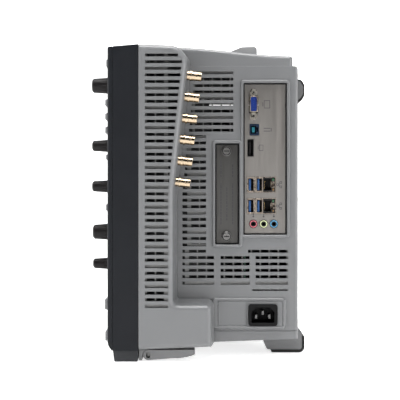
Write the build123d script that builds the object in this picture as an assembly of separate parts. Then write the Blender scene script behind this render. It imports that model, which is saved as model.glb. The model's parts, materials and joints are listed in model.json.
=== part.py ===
from build123d import *
import math
import os

# Portable logic analyzer with a 15-inch display, as an assembly of separate pieces.
# Frame: +X is the operator's right, +Y goes from the front panel to the rear, +Z is up.
# Origin: the middle of the bounding box, on the surface that the feet stand on. Millimetres.

os.makedirs("parts", exist_ok=True)

# ---------------------------------------------------------------- driving dimensions
WIDTH = 443.2
HALF_WIDTH = WIDTH / 2
SIDE_STEP = 38.0                      # how far the connector side lies inside the front bulge
SIDE_X = HALF_WIDTH - SIDE_STEP       # outer face of the recessed side
JOINT_X = 170.0                       # side covers reach in to here
WALL = 3.0

BEZEL_FRONT_Y = -94.5
BEZEL_REAR_Y = -62.9
BEZEL_WALL = 3.5
CABINET_FRONT_Y = -62.5
CABINET_REAR_Y = 103.5
CAP_REAR_Y = 98.0                     # the top cover stops short of the rear face
KNOB_TIP_Y = -112.9
REAR_FEET_Y = 112.9

TAPER = math.tan(math.radians(2.2))   # the cabinet narrows in height towards the rear
TOP_Z = 323.6                         # cabinet top at its front edge
BOTTOM_Z = 11.9                       # cabinet bottom at its front edge
CAP_LINE_Z = 305.8                    # joint between the side covers and the top cover

BULGE_DRAFT = 6.0                     # degrees
BULGE_EDGE_R = 5.4
TOP_CORNER_R = 18.0
LEAN = math.radians(6.08)             # the bulge's rear edge leans forward going down
EDGE_TOP = (-13.9, 302.0)             # (Y, Z) of a point on that edge
EDGE_LOW_Y = -27.6                    # below the lean, the edge runs straight down
LEDGE_Z = 57.0                        # top of the low block behind the bulge
LEDGE_REAR_Y = 11.0

SLOT_PITCH = 6.72
SLOT_H = 3.2
FRONT_SLOT_TOP_Z = 311.9
FRONT_SLOT_START_Y = -56.0
FRONT_SLOTS = 39
SIDE_SLOT_TOP_Z = 298.7
SIDE_SLOTS = 34
SCREEN_WEB_PITCH = 9.5                # webs of the perforated sheet behind the slots

IO_Y, IO_Z = 68.7, 208.0              # centre of the connector panel
IO_W, IO_H = 44.45, 158.75            # a standard PC rear-connector panel, standing on end
IO_X = SIDE_X - 2.4                   # its outer face
BAY_Y, BAY_Z = 28.7, 171.0            # centre of the drive tray's face
BAY_W, BAY_H = 24.0, 105.4
BAY_X = SIDE_X - 5.0                  # its outer face, at the bottom of a pocket
RIM_H = 1.8                           # height of the rims around the panel and the tray
RIM_W = 3.0
EDGE_GAP = 0.8                        # between a rim and what lies inside it
LINER = 1.2                           # wall of the tray's pocket
DRIVE_SIZE = (147.0, 20.0, 101.6)     # a 3.5-inch disk drive on edge
THUMBSCREW_Z = (126.1, 216.2)
INLET_Y, INLET_Z = 66.1, 43.7
INLET_W, INLET_H = 30.7, 22.7
PLATFORM_X = SIDE_X + 2.6             # face of the raised area around the inlet
PLATFORM_Y, PLATFORM_Z = (12.4, 90.7), (29.0, 61.5)
INLET_PLATE = (53.0, 45.2, 67.8, 25.8)    # centre Y and Z, length and height
INLET_X = PLATFORM_X - 0.3            # outer face of the inlet's panel

SCREEN_W, SCREEN_H = 304.1, 228.1     # active area of a 15-inch 4:3 display
SCREEN_X, SCREEN_Z = -42.0, 176.0
CONTROL_X = 185.6                     # knobs and keys share this column
BOARD_FRONT_Y = -84.4                 # face of the keypad board

KNOBS = {                             # node name: (Z, radius, tip Y)
    "entry_knob": (284.8, 8.6, KNOB_TIP_Y),
    "marker_knob_upper": (221.5, 6.6, KNOB_TIP_Y),
    "marker_knob_lower": (179.0, 6.6, KNOB_TIP_Y),
    "scale_knob": (131.3, 8.6, KNOB_TIP_Y + 1.0),
    "delay_knob": (98.0, 6.2, KNOB_TIP_Y + 1.0),
}
KEYS = {                              # node name: (Z, width, height, front Y)
    "touch_lock_key": (307.4, 18.0, 8.0, -98.2),
    "run_single_key": (265.7, 30.0, 7.2, -98.6),
    "run_repeat_key": (251.3, 30.0, 7.2, -98.6),
    "stop_key": (237.2, 30.0, 7.2, -98.6),
    "marker_select_key": (209.2, 22.0, 5.6, -98.2),
    "zoom_key": (156.9, 22.0, 7.2, -98.2),
    "print_key": (56.3, 30.0, 11.4, -98.9),
    "power_button": (23.0, 22.0, 10.6, -98.9),
}
KEY_GAP = 0.35
SHAFT_R = 3.0
SHAFT_GAP = 0.05

BNC_COUNT = 6
BNC_TOP_Z = 293.4
BNC_STEP = 22.0
BNC_X = 203.6
BNC_R = 4.8
BNC_LENGTH = 14.4

HANDLE_PIVOT = (53.5, 322.0)          # (Y, Z)
BARREL_R = 7.4
ARM_X = (141.0, 152.0)
BRACKET_X = (152.4, 162.9)
PAN_X, PAN_Y, PAN_Z = 163.0, (-53.0, 69.0), 303.4
BAR_YZ = (-37.0, 313.6)               # the handle's crossbar when folded
BAR_R = 7.6
PIN_R = 3.0

LEG_PIVOT = (-53.0, 6.2)              # (Y, Z)
LEG_X = (198.0, 216.0)
LEG_R = 5.2
FOOT_X = (122.0, 160.0)               # rear feet

FAN_SIZE = 80.0
FAN_X = (-110.0, -18.0)
FAN_Z = 196.0
FAN_Y = (74.0, 99.0)
FAN_BLADES = 7
POD_COUNT = 5
POD_PITCH = 44.0
POD_X = -144.0
POD_Z = 46.0


# ---------------------------------------------------------------- helpers
def top_z(y):
    return TOP_Z - (y - CABINET_FRONT_Y) * TAPER


def bottom_z(y):
    return BOTTOM_Z + (y - CABINET_FRONT_Y) * TAPER


def edge_y(z):
    """Y of the bulge's rear edge at height z."""
    return max(EDGE_TOP[0] - (EDGE_TOP[1] - z) * math.tan(LEAN), EDGE_LOW_Y)


def block(x, y, z):
    """A box from three (low, high) pairs."""
    sizes = [high - low for low, high in (x, y, z)]
    middle = [(high + low) / 2 for low, high in (x, y, z)]
    return Pos(*middle) * Box(*sizes)


def around(middle, size):
    """A (low, high) pair about a middle."""
    return (middle - size / 2, middle + size / 2)


def rod(start, direction, radius, length, end_radius=None):
    """A cylinder, or a cone, from a start point along a direction."""
    plane = Plane(origin=start, z_dir=direction)
    if end_radius is None:
        return plane * Cylinder(radius, length, align=(Align.CENTER, Align.CENTER, Align.MIN))
    return plane * Cone(radius, end_radius, length, align=(Align.CENTER, Align.CENTER, Align.MIN))


def side_prism(points, x_low, x_high, radii=None):
    """Extrude a (Y, Z) outline along X."""
    line = FilletPolyline(*points, radius=radii, close=True) if radii else Polyline(*points, close=True)
    return extrude(Plane.YZ.offset(x_low) * make_face(line), amount=x_high - x_low)


def panel(x, y, z, radius):
    """A flat piece facing X, with rounded corners."""
    middle = ((x[0] + x[1]) / 2, (y[0] + y[1]) / 2, (z[0] + z[1]) / 2)
    face = RectangleRounded(y[1] - y[0], z[1] - z[0], radius)
    return extrude(Plane.YZ.offset(x[0]) * Pos(middle[1], middle[2]) * face, amount=x[1] - x[0])


def facing(x, y, z, radius):
    """A flat piece facing Y, with rounded corners."""
    middle = ((x[0] + x[1]) / 2, (z[0] + z[1]) / 2)
    plane = Plane(origin=(0, y[1], 0), x_dir=(1, 0, 0), z_dir=(0, -1, 0))
    face = RectangleRounded(x[1] - x[0], z[1] - z[0], radius)
    return extrude(plane * Pos(*middle) * face, amount=y[1] - y[0])


def solids_of(pieces):
    return [solid for piece in pieces for solid in piece.solids()]


def group(*pieces):
    """Separate solids kept in one node."""
    return Compound(children=solids_of(pieces))


def fuse(pieces):
    first, *rest = solids_of(pieces)
    return first.fuse(*rest)


def cut(shape, cutters):
    return shape.cut(*solids_of(cutters))


def mirrored(shape):
    return mirror(shape, about=Plane.YZ)


def both_sides(shape):
    return group(shape, mirrored(shape))


def save(shape, name):
    export_step(shape, f"parts/{name}.step")


# ---------------------------------------------------------------- cabinet covers
def cabinet_outline(inset):
    """(Y, Z) outline of the cabinet; an inset one runs past the open front."""
    front = CABINET_FRONT_Y - (1.0 if inset else 0.0)
    rear = CABINET_REAR_Y - inset
    return [
        (front, bottom_z(front) + inset),
        (rear, bottom_z(rear) + inset),
        (rear, top_z(rear) - inset),
        (front, top_z(front) - inset),
    ]


def bulge_outline():
    """(Y, Z) outline of the bulge at its outer plane, run past the cabinet's front, top and bottom."""
    past = 20.0
    lean_foot_z = EDGE_TOP[1] - (EDGE_TOP[0] - EDGE_LOW_Y) / math.tan(LEAN)
    points = [
        (CABINET_FRONT_Y - past, -past),
        (LEDGE_REAR_Y, -past),
        (LEDGE_REAR_Y, LEDGE_Z),
        (EDGE_LOW_Y, LEDGE_Z),
        (EDGE_LOW_Y, lean_foot_z),
        (EDGE_TOP[0] + (TOP_Z + past - EDGE_TOP[1]) * math.tan(LEAN), TOP_Z + past),
        (CABINET_FRONT_Y - past, TOP_Z + past),
    ]
    radii = [1.0, 1.0, 4.5, 6.0, 60.0, 1.0, 1.0]
    return make_face(FilletPolyline(*points, radius=radii, close=True))


def bulge_core(inset=0.0):
    """The bulge's drafted body, not yet trimmed to the cabinet."""
    outline = offset(bulge_outline(), amount=-inset) if inset else bulge_outline()
    outer_x = HALF_WIDTH - inset
    inner_x = JOINT_X - (1.0 if inset else 0.0)
    face = Plane.YZ.offset(outer_x) * outline
    return extrude(face, amount=-(outer_x - inner_x), taper=-BULGE_DRAFT)


def bulge_body(inset=0.0):
    """The bulge between the cabinet's front, top and bottom, with its top rear corner rounded."""
    trim = side_prism(cabinet_outline(inset), JOINT_X - 1, HALF_WIDTH + 1)
    body = bulge_core(inset) & trim
    corner = body.edges().filter_by(lambda e: abs(e.tangent_at(0.5).X) > 0.9).sort_by(Axis.Z)[-2:]
    corner = sorted(corner, key=lambda e: e.center().Y)[-1]
    return fillet(corner, TOP_CORNER_R - inset)


def front_slot_rows():
    """(Z, rear end Y) of each vent slot on the bulge."""
    rows = []
    for row in range(FRONT_SLOTS):
        z = FRONT_SLOT_TOP_Z - row * SLOT_PITCH
        short = 4.6 if row == 0 else 0.0
        rows.append((z, edge_y(z) - 4.9 - short))
    return rows


def side_slot_rows():
    """(Z, front end Y, rear end Y) of each vent slot on the recessed side."""
    rows = []
    for row in range(SIDE_SLOTS):
        z = SIDE_SLOT_TOP_Z - row * SLOT_PITCH
        start = edge_y(z) + SIDE_STEP * math.tan(math.radians(BULGE_DRAFT)) + 5.0
        if row < 10:
            spans = [(start, 35.0)]
        elif row < 28:
            spans = [(start, 6.3)]
        elif row == 28:
            spans = [(start, 6.3), (50.6, 92.8)]
        else:
            spans = [(start, 14.7), (21.7, 52.3), (58.6, 92.8)]
        rows += [(z, low, high) for low, high in spans]
    return rows


def slot(z, low, high, x_low, x_high, height=SLOT_H):
    return block((x_low, x_high), (low, high), (z - height / 2, z + height / 2))


def bnc_axis(number):
    """Base point on the wall's outer face and direction of one coaxial jack."""
    z = BNC_TOP_Z - number * BNC_STEP
    draft = (HALF_WIDTH - BNC_X) * math.tan(math.radians(BULGE_DRAFT))
    return (BNC_X, edge_y(z) + draft, z), (0, math.cos(LEAN), -math.sin(LEAN))


def front_side_cover(with_jacks):
    body = bulge_body()
    outer_edges = body.edges().filter_by_position(Axis.X, HALF_WIDTH - 0.01, HALF_WIDTH + 0.01)
    rounded = [e for e in outer_edges if e.center().Y > CABINET_FRONT_Y + 0.5]
    body = fillet(rounded, BULGE_EDGE_R)
    body -= bulge_body(WALL)
    cutters = [
        slot(z, FRONT_SLOT_START_Y, rear, HALF_WIDTH - 2 * WALL, HALF_WIDTH + 1)
        for z, rear in front_slot_rows()
    ]
    if with_jacks:
        for number in range(BNC_COUNT):
            base, direction = bnc_axis(number)
            start = Vector(*base) - Vector(*direction) * 8
            cutters.append(rod(start, direction, BNC_R + 0.2, 16))
    return cut(body, cutters)


def corner_edge(body):
    """The upright edge between the recessed side and the rear face."""
    return body.edges().filter_by(Axis.Z).group_by(Axis.X)[-1].sort_by(Axis.Y)[-1]


def rear_side_shell():
    """Recessed side plate with a rounded return on the rear face."""
    outline = [
        (CABINET_FRONT_Y, bottom_z(CABINET_FRONT_Y)),
        (CABINET_REAR_Y, bottom_z(CABINET_REAR_Y)),
        (CABINET_REAR_Y, CAP_LINE_Z),
        (CABINET_FRONT_Y, CAP_LINE_Z),
    ]
    body = side_prism(outline, JOINT_X, SIDE_X)
    top_edge = body.edges().filter_by(Axis.X).sort_by(lambda e: e.center().Y + e.center().Z)[-1]
    body = fillet([corner_edge(body), top_edge], 3.6)
    inside = block((JOINT_X - 1, SIDE_X - WALL), (-70, CABINET_REAR_Y - WALL), (0, CAP_LINE_Z - WALL))
    hatch = block((JOINT_X - 1, SIDE_X - WALL), (-70, CAP_REAR_Y - WALL - 1.5), (300, 330))
    return body - inside - hatch - bulge_core()


def rim(y, z, width, height, radius):
    """A raised, rounded rim around an opening of the recessed side."""
    width += 2 * RIM_W
    height += 2 * RIM_W
    outer = panel((SIDE_X - 1, SIDE_X + RIM_H), around(y, width), around(z, height), radius + 2.5)
    return fillet(outer.edges().group_by(Axis.X)[-1], 1.2)


def inlet_platform():
    """Raised area with soft edges that carries the mains inlet."""
    body = panel((SIDE_X - 1, PLATFORM_X), PLATFORM_Y, PLATFORM_Z, 4.0)
    return fillet(body.edges().group_by(Axis.X)[-1], 2.2) - bulge_core()


def bay_liner():
    """Walls of the pocket that the tray's face lies in."""
    more = 2 * (EDGE_GAP + LINER)
    return panel((BAY_X - 2.0, SIDE_X), around(BAY_Y, BAY_W + more), around(BAY_Z, BAY_H + more), 2.4)


def opening(y, z, width, height, radius, face_x, bevel):
    """Cutters for a through opening whose outer edge is bevelled."""
    through = panel((BAY_X - 5, face_x + 1), around(y, width), around(z, height), radius)
    outer = Plane.YZ.offset(face_x + 0.01) * Pos(y, z)
    mouth = outer * RectangleRounded(width + 2 * bevel, height + 2 * bevel, radius + bevel)
    return [through, extrude(mouth, amount=-bevel, taper=45)]


def seam_groove():
    """Shallow line where the side cover laps over the base."""
    z = 26.4
    return block((SIDE_X - 0.6, SIDE_X + 1), (LEDGE_REAR_Y, CABINET_REAR_Y + 1), (z, z + 0.8))


def rear_side_cover_right():
    gap = 2 * EDGE_GAP
    bay = (BAY_Y, BAY_Z, BAY_W + gap, BAY_H + gap, 1.5)
    connectors = (IO_Y, IO_Z, IO_W + gap, IO_H + gap, 1.5)
    shell = fuse([
        rear_side_shell(),
        rim(*bay),
        rim(*connectors),
        inlet_platform(),
        bay_liner(),
    ])
    through = (SIDE_X - 2 * WALL, SIDE_X + 2)
    cutters = [slot(z, low, high, *through) for z, low, high in side_slot_rows()]
    cutters.append(slot(69.6, 55.3, 92.8, *through, height=1.6))
    cutters.append(seam_groove())
    cutters += opening(*connectors, SIDE_X + RIM_H, 0.6)
    cutters += opening(*bay, SIDE_X + RIM_H, 0.6)
    y, z, length, height = INLET_PLATE
    cutters += opening(y, z, length + 0.6, height + 0.6, 1.5, PLATFORM_X, 0.5)
    return cut(shell, cutters)


def rear_side_cover_left():
    shell = rear_side_shell()
    through = (SIDE_X - 2 * WALL, SIDE_X + 2)
    cutters = [slot(z, low, 92.8, *through) for z, low, high in side_slot_rows() if low < 10]
    cutters.append(seam_groove())
    return mirrored(cut(shell, cutters))


def cap_prism(inset, half_width):
    """The top cover's outer or inner shape: a shallow dome that falls towards the rear."""
    front = CABINET_FRONT_Y - (1.0 if inset else 0.0)
    foot = CAP_LINE_Z - (1.0 if inset else 0.0)
    rear = CAP_REAR_Y - inset
    crown = Spline(
        (rear, 316.8 - inset), (25.0, 322.3 - inset), (-12.0, 325.5 - inset),
        (-44.0, 325.8 - inset), (front, 323.5 - inset),
    )
    sides = Polyline((front, 323.5 - inset), (front, foot), (rear, foot), (rear, 316.8 - inset))
    face = Plane.YZ.offset(-half_width) * make_face([*crown.edges(), *sides.edges()])
    return extrude(face, amount=2 * half_width)


def top_cover():
    body = cap_prism(0.0, SIDE_X)
    rear_edge = body.edges().filter_by(Axis.X).sort_by(lambda e: e.center().Y + e.center().Z)[-1]
    body = fillet(rear_edge, 3.0)
    long_edges = [
        e for e in body.edges()
        if abs(e.center().X) > SIDE_X - 0.1 and e.center().Z > CAP_LINE_Z + 1
        and e.center().Y > CABINET_FRONT_Y + 0.6
    ]
    body = fillet(long_edges, 4.0)
    outer = body
    body = body - cap_prism(WALL, SIDE_X - WALL)
    pan = block((-PAN_X - WALL, PAN_X + WALL), (PAN_Y[0] - WALL, PAN_Y[1] + WALL), (PAN_Z - WALL, 321))
    pan &= fuse([outer, block((-SIDE_X, SIDE_X), (CABINET_FRONT_Y, 90.0), (290, CAP_LINE_Z))])
    body = fuse([body, pan])
    body -= block((-PAN_X, PAN_X), PAN_Y, (PAN_Z, 340))
    notch = block((JOINT_X - 0.1, 230), (-80, -24), (290, 340))
    for cutter in (notch, bulge_body()):
        body = body - cutter - mirrored(cutter)
    return body


def bottom_cover():
    outline = [
        (CABINET_FRONT_Y, bottom_z(CABINET_FRONT_Y)),
        (CABINET_REAR_Y - WALL, bottom_z(CABINET_REAR_Y - WALL)),
        (CABINET_REAR_Y - WALL, bottom_z(CABINET_REAR_Y - WALL) + WALL),
        (CABINET_FRONT_Y, bottom_z(CABINET_FRONT_Y) + WALL),
    ]
    plate = side_prism(outline, WALL - SIDE_X, SIDE_X - WALL)
    plate = plate - bulge_core() - mirrored(bulge_core())
    vents = [
        block(around(x, 40), around(y, 3), (0, 30))
        for x in (-90, -30, 30, 90) for y in range(-30, 40, 9)
    ]
    return cut(plate, vents)


def rear_panel():
    rear, low, high = CABINET_REAR_Y, bottom_z(CABINET_REAR_Y), CAP_LINE_Z
    flange_y = CAP_REAR_Y - WALL - 1.5
    profile = [
        (rear, low), (rear, high), (flange_y, high),
        (flange_y, high - WALL), (rear - WALL, high - WALL), (rear - WALL, low),
    ]
    plate = side_prism(profile, -JOINT_X, JOINT_X, [0.2, 3.6, 0.2, 0.2, 0.6, 0.2])
    past = (rear - WALL - 1, rear + 1)
    cutters = [rod((x, past[0], FAN_Z), (0, 1, 0), FAN_SIZE / 2 - 2, 6) for x in FAN_X]
    cutters += [
        facing(around(POD_X + n * POD_PITCH, 38.4), past, around(POD_Z, 14.4), 0.2)
        for n in range(POD_COUNT)
    ]
    cutters += [
        block(around(80, 60), past, around(z, 3))
        for z in range(120, 280, 8)
    ]
    return cut(plate, cutters)


# ---------------------------------------------------------------- front panel
def front_bezel():
    side = [
        (BEZEL_REAR_Y, 11.2), (-90.0, 11.2), (-93.2, 16.2), (BEZEL_FRONT_Y, 20.0),
        (BEZEL_FRONT_Y, 319.2), (-93.0, 320.7), (BEZEL_REAR_Y, 323.0),
    ]
    body = side_prism(side, -HALF_WIDTH, HALF_WIDTH)
    plan_line = FilletPolyline(
        (-HALF_WIDTH, BEZEL_REAR_Y), (-HALF_WIDTH + 1.4, BEZEL_FRONT_Y),
        (HALF_WIDTH - 1.4, BEZEL_FRONT_Y), (HALF_WIDTH, BEZEL_REAR_Y),
        radius=[0.2, 2.5, 2.5, 0.2], close=True,
    )
    body &= extrude(make_face(plan_line), amount=340)
    body -= block((-230, 230), (-89.5, -88.9), (0, 340)) - block((-219.9, 219.9), (-90, -88), (11.9, 320.4))
    inner_y = (BEZEL_FRONT_Y + BEZEL_WALL, BEZEL_REAR_Y + 1)
    body -= block((BEZEL_WALL - HALF_WIDTH, HALF_WIDTH - BEZEL_WALL), inner_y, (14.6, 318.6))
    front = BEZEL_FRONT_Y
    through = (front - 1, front + 6)
    window = facing(around(SCREEN_X, SCREEN_W + 2), through, around(SCREEN_Z, SCREEN_H + 2), 1)
    mouth = Plane(origin=(SCREEN_X, front - 0.01, SCREEN_Z), x_dir=(1, 0, 0), z_dir=(0, -1, 0))
    bevel = extrude(mouth * RectangleRounded(SCREEN_W + 16, SCREEN_H + 16, 6), amount=-2.6, taper=62)
    cutters = [window, bevel]
    for z, width, height, _ in KEYS.values():
        gap = 2 * KEY_GAP
        cutters.append(facing(
            around(CONTROL_X, width + gap), through, around(z, height + gap), 2.0))
    for z, radius, _ in KNOBS.values():
        cutters.append(rod((CONTROL_X, front - 1, z), (0, 1, 0), 5.2, 7))
        cutters.append(rod((CONTROL_X, front - 1, z), (0, 1, 0), radius + 1.6, 1.6))
    cutters += [
        facing(around(155.0, 13.2), through, around(z, 5.6), 0.4) for z in (30.0, 41.0)
    ]
    return cut(body, cutters)


def key_cap(z, width, height, front_y):
    cap = facing(around(CONTROL_X, width), (front_y, -89.4), around(z, height), 1.7)
    cap = fillet(cap.edges().group_by(Axis.Y)[0], 1.0)
    flange = block(around(CONTROL_X, width + 3), (-90.6, -89.4), around(z, height + 1.6))
    stem = rod((CONTROL_X, -89.4, z), (0, 1, 0), 1.6, 3.2)
    return fuse([cap, flange, stem])


def knob(z, radius, tip_y):
    """Fluted knob on its encoder shaft."""
    base_y = BEZEL_FRONT_Y - 0.6
    length = base_y - tip_y
    body = rod((CONTROL_X, base_y, z), (0, -1, 0), radius, length, radius - 1.1)
    body = chamfer(body.edges().group_by(Axis.Y)[0], 1.2)
    count = 18
    flutes = []
    for step in range(count):
        angle = 2 * math.pi * step / count
        x = CONTROL_X + (radius + 0.15) * math.cos(angle)
        flute_z = z + (radius + 0.15) * math.sin(angle)
        flutes.append(rod((x, base_y - 2.2, flute_z), (0, -1, 0), 0.75, length))
    body = cut(body, flutes)
    return fuse([body, rod((CONTROL_X, base_y, z), (0, 1, 0), SHAFT_R, 8.0)])


def rotary_encoders():
    pieces = []
    for z, _, _ in KNOBS.values():
        can = block(around(CONTROL_X, 12.4), (-90.4, BOARD_FRONT_Y), around(z, 12.4))
        bushing = rod((CONTROL_X, -90.4, z), (0, -1, 0), 4.6, 2.8)
        encoder = fuse([can, bushing])
        pieces.append(encoder - rod((CONTROL_X, -96, z), (0, 1, 0), SHAFT_R + SHAFT_GAP, 10.4))
    return group(*pieces)


def keypad_board():
    board = block((162.0, 208.0), (BOARD_FRONT_Y, BOARD_FRONT_Y + 1.6), (17.0, 315.0))
    domes = [
        rod((CONTROL_X, BOARD_FRONT_Y, z), (0, -1, 0), 2.6, 0.4) for z, _, _, _ in KEYS.values()
    ]
    return fuse([board, *domes])


def front_usb_ports():
    ports = []
    for z in (30.0, 41.0):
        shell = block(around(155.0, 12.6), (-94.2, -80.0), around(z, 5.0))
        hollow = block(around(155.0, 11.6), (-95.0, -82.0), around(z, 4.2))
        tongue = block(around(155.0, 10.4), (-93.4, -81.0), (z + 0.2, z + 1.8))
        ports.append(fuse([shell - hollow, tongue]))
    return group(*ports)


def touch_glass():
    return block(around(SCREEN_X, SCREEN_W + 12), (-90.9, -88.9), around(SCREEN_Z, SCREEN_H + 12))


def lcd_panel():
    return block(around(SCREEN_X, SCREEN_W + 20), (-88.5, -76.0), around(SCREEN_Z, SCREEN_H + 18))


# ---------------------------------------------------------------- connector side
def screen_sheet(x, y, z, first_bar_z, bar_rows, bar=6.4, web=1.5):
    """A sheet punched with rectangular holes, between upright webs and level bars."""
    count = int((y[1] - y[0] - 3.0) / SCREEN_WEB_PITCH)
    start = (y[0] + y[1] - count * SCREEN_WEB_PITCH) / 2
    step = bar_rows * SLOT_PITCH
    holes = []
    top = first_bar_z - bar / 2
    while top > z[0] + 8.0:
        low = max(top - step + bar, z[0] + 2.0)
        for number in range(count):
            left = start + number * SCREEN_WEB_PITCH + web / 2
            holes.append(block((x[0] - 1, x[1] + 1), (left, left + SCREEN_WEB_PITCH - web), (low, top)))
        top -= step
    return cut(block(x, y, z), holes)


def emi_screens():
    """Perforated sheets behind the vent slots."""
    bulge_x = (HALF_WIDTH - WALL - 2.2, HALF_WIDTH - WALL - 1.2)
    bulge = screen_sheet(bulge_x, (-58.5, -32.5), (48.0, 316.0), 318.0, 3)
    side_x = (SIDE_X - WALL - 1.4, SIDE_X - WALL - 0.4)
    upper = screen_sheet(side_x, (-8.0, 43.5), (230.5, 303.0), SIDE_SLOT_TOP_Z, 3.5)
    middle = screen_sheet(side_x, (-13.5, 12.5), (116.0, 230.0), 231.5, 3)
    lower = screen_sheet(side_x, (-16.0, 96.0), (63.0, 115.5), 117.8, 6.25)
    return group(bulge, mirrored(bulge), upper, middle, lower)


def io_ports():
    """Openings of the connector panel: (name, Y, Z, width along Y, height along Z)."""
    ports = {
        "vga": (56.6, 265.7, 9.4, 18.4),
        "usb_b": (57.4, 238.9, 9.6, 11.8),
        "displayport": (53.4, 219.7, 6.0, 17.8),
        "audio": (67.2, 139.3, 33.2, 10.6),
    }
    for name, z in (("lan_upper", 180.8), ("lan_lower", 158.2)):
        ports[name] = (64.9, z, 30.4, 16.2)
    return ports


def io_shield():
    plate = panel((IO_X - 1.0, IO_X), around(IO_Y, IO_W), around(IO_Z, IO_H), 1.0)
    lip = panel((IO_X - 1.0, IO_X + 0.8), around(IO_Y, IO_W), around(IO_Z, IO_H), 1.0)
    lip -= panel((IO_X - 2.0, IO_X + 2.0), around(IO_Y, IO_W - 1.6), around(IO_Z, IO_H - 1.6), 0.4)
    plate = fuse([plate, lip])
    through = (IO_X - 2, IO_X + 1)
    cutters = [
        panel(through, around(y, w + 0.5), around(z, h + 0.5), 0.6) for y, z, w, h in io_ports().values()
    ]
    cutters += [rod((IO_X - 2, 56.6, 265.7 + side * 12.5), (1, 0, 0), 3.0, 4) for side in (1, -1)]
    return cut(plate, cutters)


def vga_connector():
    """D-shaped shell, insert with socket holes, and two jackscrews."""
    y, z, _, _ = io_ports()["vga"]
    shell = panel((IO_X - 9, IO_X + 5.0), around(y, 8.3), around(z, 16.9), 2.6)
    shell -= panel((IO_X + 0.6, IO_X + 6), around(y, 7.3), around(z, 15.9), 2.2)
    insert = panel((IO_X + 0.6, IO_X + 4.4), around(y, 6.3), around(z, 14.9), 1.8)
    holes = [
        rod((IO_X + 1.6, y + column * 2.0, z + (row - 2) * 2.29 + column * 1.14), (1, 0, 0), 0.5, 4)
        for column in (-1, 0, 1) for row in range(5)
    ]
    screws = []
    for side in (1, -1):
        face = Plane.YZ.offset(IO_X - 4) * Pos(y, z + side * 12.5) * RegularPolygon(2.9, 6)
        screw = extrude(face, amount=9.0)
        screws.append(screw - rod((IO_X + 0.5, y, z + side * 12.5), (1, 0, 0), 1.2, 5))
    return group(shell, cut(insert, holes), *screws)


def usb_b_port():
    y, z, w, h = io_ports()["usb_b"]
    body = block((IO_X - 16, IO_X + 0.6), around(y, w), around(z, h))
    hollow = block((IO_X - 9, IO_X + 1), (y - 3.9, y + 1.9), around(z, 8.4))
    hollow_top = block((IO_X - 9, IO_X + 1), (y + 2.2, y + 4.0), around(z, 5.2))
    tongue = block((IO_X - 9, IO_X - 0.4), (y - 2.6, y + 0.6), around(z, 5.6))
    return group(body - hollow - hollow_top, tongue)


def displayport():
    y, z, w, h = io_ports()["displayport"]
    body = block((IO_X - 14, IO_X + 0.5), around(y, w), around(z, h))
    hollow = panel((IO_X - 8, IO_X + 1), around(y, w - 1.2), around(z, h - 1.6), 1.0)
    tongue = block((IO_X - 8, IO_X - 0.6), around(y - 0.5, 1.4), around(z, h - 4))
    return group(body - hollow, tongue)


def lan_usb_stack(name):
    """A network socket beyond two USB sockets, in one metal shell."""
    y, z, w, h = io_ports()[name]
    low = y - w / 2
    body = block((IO_X - 22, IO_X + 0.8), around(y, w), around(z, h))
    cutters = []
    tongues = []
    for start in (low + 1.2, low + 10.2):
        cutters.append(block((IO_X - 12, IO_X + 1), (start, start + 5.6), around(z, 13.2)))
        tongues.append(block((IO_X - 12, IO_X - 0.2), (start + 0.9, start + 2.8), around(z, 11.4)))
    socket = (low + 17.6, low + 25.8)
    cutters.append(block((IO_X - 14, IO_X + 1), socket, around(z, 12.4)))
    cutters.append(block((IO_X - 14, IO_X + 1), (socket[1], socket[1] + 1.8), around(z, 6.2)))
    cutters.append(block((IO_X - 14, IO_X + 1), (socket[1] + 1.8, socket[1] + 3.2), around(z, 3.4)))
    return group(cut(body, cutters), *tongues)


def audio_jack_block():
    y, z, w, h = io_ports()["audio"]
    body = block((IO_X - 14, IO_X - 1.2), around(y, w), around(z, h))
    rings = [rod((IO_X - 1.2, y + step * 10.85, z), (1, 0, 0), 4.0, 3.0) for step in (-1, 0, 1)]
    bores = [rod((IO_X - 15, y + step * 10.85, z), (1, 0, 0), 1.78, 20) for step in (-1, 0, 1)]
    return cut(fuse([body, *rings]), bores)


def bnc_connectors():
    jacks = []
    for number in range(BNC_COUNT):
        base, direction = bnc_axis(number)
        base = Vector(*base)
        direction = Vector(*direction)
        start = base - direction * 7.5
        body = rod(start, direction, BNC_R, 7.5 + BNC_LENGTH)
        collar = rod(base + direction * 2.6, direction, BNC_R + 0.7, 2.0)
        cross = Vector(1, 0, 0)
        lugs = rod(base + direction * (BNC_LENGTH - 4.6) - cross * 5.7, cross, 1.0, 11.4)
        jack = fuse([body, collar, lugs])
        bore = rod(base + direction * 4.0, direction, 4.05, BNC_LENGTH)
        jack = jack - bore
        core = rod(base + direction * 3.0, direction, 2.4, BNC_LENGTH - 5.0)
        core -= rod(base + direction * 4.5, direction, 0.8, BNC_LENGTH)
        jacks.append(fuse([jack, core]))
    return group(*jacks)


def bnc_nuts():
    """Ring nuts against the tilted wall's inner face."""
    nuts = []
    for number in range(BNC_COUNT):
        base, direction = bnc_axis(number)
        start = Vector(*base) - Vector(*direction) * 6.6
        plane = Plane(origin=start, z_dir=direction)
        nut = plane * extrude(RegularPolygon(7.4, 6), amount=2.2)
        nuts.append(nut - rod(start - Vector(*direction), direction, BNC_R + 0.02, 6))
    return group(*nuts)


def drive_tray():
    """Face plate with a long sheet that the disk drive is screwed to."""
    face = panel((BAY_X - 2.0, BAY_X), around(BAY_Y, BAY_W), around(BAY_Z, BAY_H), 1.2)
    clear = [rod((BAY_X - 5, 28.0, z), (1, 0, 0), 2.3, 8) for z in THUMBSCREW_Z]
    deep = (BAY_X - 6.0 - DRIVE_SIZE[0], BAY_X - 2.0)
    back = block(deep, (BAY_Y - 11.6, BAY_Y - 10.4), (THUMBSCREW_Z[0] + 7, THUMBSCREW_Z[1] - 7))
    return fuse([cut(face, clear), back])


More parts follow.
